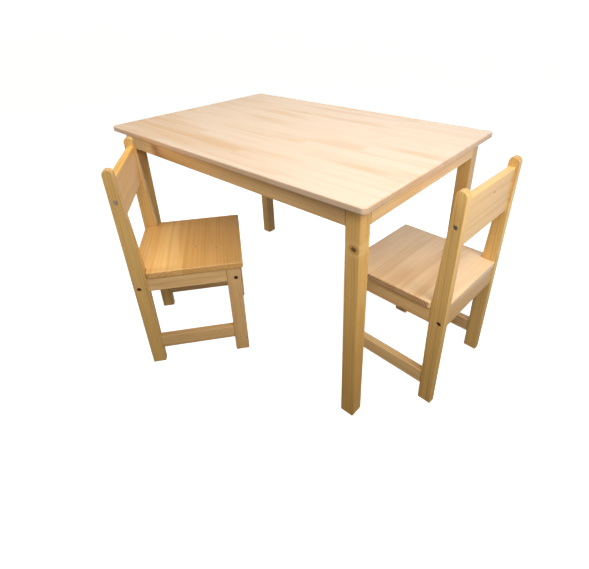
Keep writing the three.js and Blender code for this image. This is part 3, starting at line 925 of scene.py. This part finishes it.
def seat_board(chair, finishes):
    low, high = chair.span("seat")
    shoulder = chair.span("back_post_left")[1].x + 2 * GAP
    wide, narrow = high.y, chair.inner - GAP
    r, c = SEAT_SHOULDER, SEAT_CORNER
    outline = [(low.x, -narrow), (shoulder, -narrow)]
    outline += arc((shoulder + r, -wide + r), r, -180, -90)
    outline += arc((high.x - c, -wide + c), c, -90, 0)
    outline += arc((high.x - c, wide - c), c, 0, 90)
    outline += arc((shoulder + r, wide - r), r, 90, 180)
    outline += [(shoulder, narrow), (low.x, narrow)]
    solid = ease(prism(outline, (low.z, high.z), "z"), SEAT_EDGE)
    # the right chair's seat takes the paler seat pine, whose base colour carries painted glare
    finish = finishes["marked seat"] if chair.name == "chair_left" else finishes["seat"]
    chair.timber(f"{chair.name}_seat", solid, "y", finish, "seat_pine", sawn="flat")


def backrest_board(chair, finishes):
    low, high = chair.span("backrest")
    t, b = BACKREST_TOP_ROUND, BACKREST_BOTTOM_ROUND
    outline = rounded(low.xz, high.xz, (b, t, t, b))
    cuts = []
    for side, sign in SIDES.items():
        screw = chair.centre(f"backrest_screw_{side}")
        tip = min(abs(end.y) for end in chair.span(f"backrest_screw_{side}")) - BORE_SPARE
        radius = BACK_SCREW["Shank Radius"] + GAP
        cuts.append(drilled(tip, high.y + OVERRUN, radius, (screw.x, 0, screw.z), (0, sign, 0)))
    finish = finishes["knotted back"] if chair.name == "chair_right" else finishes["back"]
    solid = prism(outline, (low.y, high.y), "y")
    chair.timber(f"{chair.name}_backrest", solid, "y", finish, "seat_pine", sawn="flat", cuts=cuts)


def chair_hardware(chair, trees):
    bolts, nuts, screws, under = [], [], [], []
    for side, sign in SIDES.items():
        out = (0, sign, 0)
        face = sign * (chair.half_width - HEAD_SUNK)
        for rail, inwards in (("front_rail", -1), ("back_rail", 1)):
            low, high = chair.span(f"{rail}_bolt_{side}")
            z = (low.z + high.z) / 2
            bolts.append(((chair.centre(rail).x, face, z), out))
            mouth = low.x if rail == "front_rail" else high.x
            nuts.append(((mouth, sign * (chair.inner - BARREL_NUT_INSET), z), (inwards, 0, 0)))
        screw = chair.centre(f"backrest_screw_{side}")
        screws.append(((screw.x, face, screw.z), out))
        rail_y = chair.centre(f"seat_rail_{side}").y
        sunk_to = chair.span(f"seat_rail_{side}")[0].z + SEAT_SCREW_SUNK
        under += [((x, rail_y, sunk_to), DOWN) for x in SEAT_SCREW_PLACES]
    name = chair.name
    nodes = [f"{name}_{rail}_bolt_{side}" for rail in ("front_rail", "back_rail") for side in SIDES]
    chair.hardware(f"{name}_rail_bolts", trees["bolt"], RAIL_BOLT, bolts, "black_steel", nodes)
    chair.hardware(f"{name}_barrel_nuts", trees["barrel nut"], BARREL_NUT, nuts, "zinc_steel", nodes)
    nodes = [f"{name}_backrest_screw_{side}" for side in SIDES]
    chair.hardware(f"{name}_backrest_screws", trees["back screw"], BACK_SCREW, screws, "black_steel", nodes)
    chair.hardware(f"{name}_seat_screws", trees["wood screw"], SEAT_SCREW, under, "zinc_steel")


def build_chair(name, finishes, trees):
    chair = Chair(name)
    seat_board(chair, finishes)
    backrest_board(chair, finishes)
    cross_rails(chair, finishes)
    for side in SIDES:
        back_post(chair, side, finishes)
        front_leg(chair, side, finishes)
        side_rails(chair, side, finishes)
    chair_hardware(chair, trees)


# ---- studio ----

VIEW = {"azimuth": 41.64, "elevation": 28.21, "roll": 1.33}  # degrees, azimuth 0 looks along +Y
CAMERA_PLACE = Vector((0.7999, -0.8380, 0.8878))  # from the floor under the middle of the table
LENS = 25.5
SHIFT = (-0.0246, -0.101)


def add_camera(middle):
    a, e, roll = (math.radians(VIEW[key]) for key in ("azimuth", "elevation", "roll"))
    forward = Vector((-math.sin(a) * math.cos(e), math.cos(a) * math.cos(e), -math.sin(e)))
    right = Vector((math.cos(a), math.sin(a), 0))
    down = forward.cross(right)
    tilted_right = right * math.cos(roll) + down * math.sin(roll)
    tilted_down = down * math.cos(roll) - right * math.sin(roll)
    camera = add("camera", bpy.data.cameras.new("camera"))
    camera.data.lens = LENS
    camera.data.sensor_width = 36
    camera.data.shift_x, camera.data.shift_y = SHIFT
    axes = Matrix((tilted_right, -tilted_down, -forward)).transposed().to_4x4()
    camera.matrix_world = Matrix.Translation(middle + CAMERA_PLACE) @ axes
    bpy.context.scene.camera = camera


def add_floor():
    """A white sweep with a faint glow of its own, which keeps shadows pale. It throws no light on the set."""
    solid = bmesh.new()
    bmesh.ops.create_grid(solid, x_segments=1, y_segments=1, size=60)
    floor = to_object(solid, "studio_floor")
    finish = Finish("pale floor", Base_Color=(0.5, 0.5, 0.5, 1), Roughness=0.8, Emission_Strength=0.9)
    finish.surface.inputs["Emission Color"].default_value = (1, 1, 1, 1)
    finish.surface.inputs["Specular IOR Level"].default_value = 0.1
    floor.data.materials.append(finish.material)
    floor.visible_diffuse = False
    floor.visible_glossy = False


def add_world():
    """A pale studio that looks white, lights softly and is mirrored by the lacquer as a pale sweep."""
    world = bpy.data.worlds.new("studio")
    bpy.context.scene.world = world
    world.use_nodes = True
    graph = Graph(world.node_tree)
    graph.tree.nodes.clear()
    side, _, height = graph.node("ShaderNodeTexCoord", output="Generated").xyz()
    around = graph.mix(height.rise(-0.15, 0.1), (0.04, 0.024, 0.011, 1), (0.18, 0.165, 0.145, 1))
    sweep = graph.mix(height.rise(-0.68, -0.42), (0.03, 0.02, 0.01, 1), (1, 1, 1, 1))
    mirrored = graph.mix(height.rise(0.1, 0.4), sweep, (0.85, 0.85, 0.85, 1))
    mirrored = graph.mix(side.rise(-0.85, -0.2), graph.scaled(mirrored, (0.25, 0.23, 0.2)), mirrored)
    rays = graph.node("ShaderNodeLightPath", output="Is Camera Ray")
    colour = graph.mix(rays.part("Is Glossy Ray"), around, mirrored)
    colour = graph.mix(rays, colour, (1, 1, 1, 1))
    shine = graph.node("ShaderNodeBackground", {"Color": colour, "Strength": 1.0})
    graph.node("ShaderNodeOutputWorld", {"Surface": shine})


def add_softbox(name, energy, place, aim, size, spread):
    """A square softbox. A narrow spread keeps its light off whatever lies well away from its aim."""
    light = bpy.data.lights.new(name, "AREA")
    light.energy = energy
    light.size = size
    light.spread = math.radians(spread)
    lamp = add(name, light)
    lamp.location = place
    lamp.rotation_mode = "QUATERNION"
    lamp.rotation_quaternion = (aim - place).to_track_quat("-Z", "Y")
    return lamp


def add_lights(middle):
    """Softboxes aimed at the upper half of the set: their light falls off towards the floor."""
    height_of_aim = 0.55
    softboxes = (  # name, watts, place, aim, side, spread in degrees
        ("right key", 3.4, (1.4, -0.3, 1.2), (0.3, 0, height_of_aim), 0.8, 75),
        ("front key", 2.9, (1.0, -1.0, 1.5), (0.3, -0.2, height_of_aim), 0.7, 90),
        ("left fill", 2.8, (-1.0, -1.3, 1.0), (-0.25, -0.3, height_of_aim), 0.6, 90),
        ("overhead", 16.4, (-0.3, 0.15, 1.8), (0, 0, height_of_aim), 1.1, 180),
        ("rear fill", 3.0, (-0.9, 1.7, 1.2), (0, 0.1, 0.4), 0.9, 100),
    )
    for name, energy, place, aim, size, spread in softboxes:
        lamp = add_softbox(name, energy, middle + Vector(place), middle + Vector(aim), size, spread)
        lamp.visible_glossy = name != "rear fill"  # it would glare in the table top


# ---- the whole set ----

def leg_foot(node):
    """Where a leg's foot lies along its own length, measured from its middle."""
    low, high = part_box(node)
    return (low.z - high.z) / 2


def knot(at, stretch, radius, dark):
    """A knot at a place along, across and through its board; a low stretch draws it out that way."""
    return {"at": at, "stretch": stretch, "radius": radius, "dark": dark}


def make_knots():
    knot_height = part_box("table_apron_right")[0].z - 44 * MM + leg_foot("table_leg_front_right")
    foot = leg_foot("chair_left_front_leg_right")
    pins = ((-34 * MM, 16 * MM, 1.7 * MM), (-52 * MM, 72 * MM, 1.5 * MM))  # along, across, radius
    return {
        "leg": [knot((knot_height, 4 * MM, -17 * MM), (0.95, 0.8, 0.35), 6.4 * MM, 0.95)],
        "chair leg": [knot((foot + 40 * MM, 17 * MM, -17 * MM), (0.8, 0.6, 0.5), 3.4 * MM, 0.8)],
        "back": [knot((-15 * MM, -9 * MM, 26 * MM), (0.35, 0.15, 1), 1.9 * MM, 0.6)],
        "seat": [knot((x, y, 9 * MM), (0.8, 0.4, 0.2), radius, 0.4) for x, y, radius in pins],
    }


def make_finishes():
    knots = make_knots()
    frame_pine = {"rings": 0.5, "mottle": 0.45, "ring_gap": 6.5 * MM, **PINE_FRAME}
    rail_pine = {"rings": 0.6, "ring_gap": 5.5 * MM, **PINE_RAIL}
    seat_pine = {"rings": 0.5, "ring_gap": 8 * MM, "end": 0.3, "coarse": 1.5, **PINE_SEAT}
    return {
        # the top's rim paints shade on its narrow side faces
        "top": pine("top pine", rings=0.18, mottle=0.4, blotch=0.6, rim=0.25, coarse=2.4, fine=0.2, sheen=0.6,
                    staves=TOP_STAVES, heartwood=TOP_HEARTWOOD, **PINE_TOP),
        "frame": pine("frame pine", **frame_pine),
        "rail": pine("rail pine", **rail_pine),
        "knotted leg": pine("frame pine, knotted leg", knots=knots["leg"], **frame_pine),
        "knotted chair leg": pine("rail pine, knotted chair leg", knots=knots["chair leg"], **rail_pine),
        # the right chair's seat: a paler base colour, partly the board's own tone and partly painted glare
        "seat": pine("pale seat pine", rings=0.36, ring_gap=6.5 * MM, blotch=0.5, end=0.9, coarse=1.8,
                     fine=0.2, sheen=0.9, staves=SEAT_STAVES, **PINE_SEAT_PALER_WITH_PAINTED_GLARE),
        "marked seat": pine("seat pine, marked", knots=knots["seat"], staves=SEAT_STAVES, **seat_pine),
        "back": pine("backrest pine", rings=0.6, **PINE_BACK),
        "knotted back": pine("backrest pine, knotted", rings=0.6, knots=knots["back"], **PINE_DULL_BACK),
        "block": pine("sawn block pine", rings=0.8, sheen=0.0, roughness=0.7, **PINE_BLOCK),
        "black": steel("black steel", (0.15, 0.10, 0.06, 1), (0.07, 0.045, 0.028, 1), 0.4),
        "grey": steel("worn grey steel", (0.42, 0.38, 0.33, 1), (0.20, 0.17, 0.14, 1), 0.42, 0.9),
        "zinc": steel("zinc plate", (0.62, 0.63, 0.64, 1), (0.42, 0.43, 0.42, 1), 0.34),
    }


def make_fasteners(finishes):
    zinc = finishes["zinc"]
    return {
        "bolt": fastener("socket bolt", socket_bolt, RAIL_BOLT, finishes["black"]),
        "back screw": fastener("backrest screw", socket_bolt, BACK_SCREW, finishes["grey"]),
        "barrel nut": fastener("barrel nut", barrel_nut, BARREL_NUT, zinc),
        "hanger": fastener("hanger bolt", threaded_rod, [*HANGER, "Length"], zinc),
        "nut": fastener("hanger nut", nut_and_washer, HANGER_NUT, zinc),
        "wood screw": fastener("wood screw", wood_screw, BLOCK_SCREW, zinc),
    }


place = place_table()
middle_of_table = place.to_translation()
add_camera(middle_of_table)
add_floor()
add_world()
add_lights(middle_of_table)
finishes = make_finishes()
trees = make_fasteners(finishes)
table = Furniture("table", place)
table_boards(table, finishes)
corner_blocks(table, finishes, trees)
for chair_name in ("chair_left", "chair_right"):
    build_chair(chair_name, finishes, trees)
bpy.context.scene.view_settings.view_transform = "Standard"
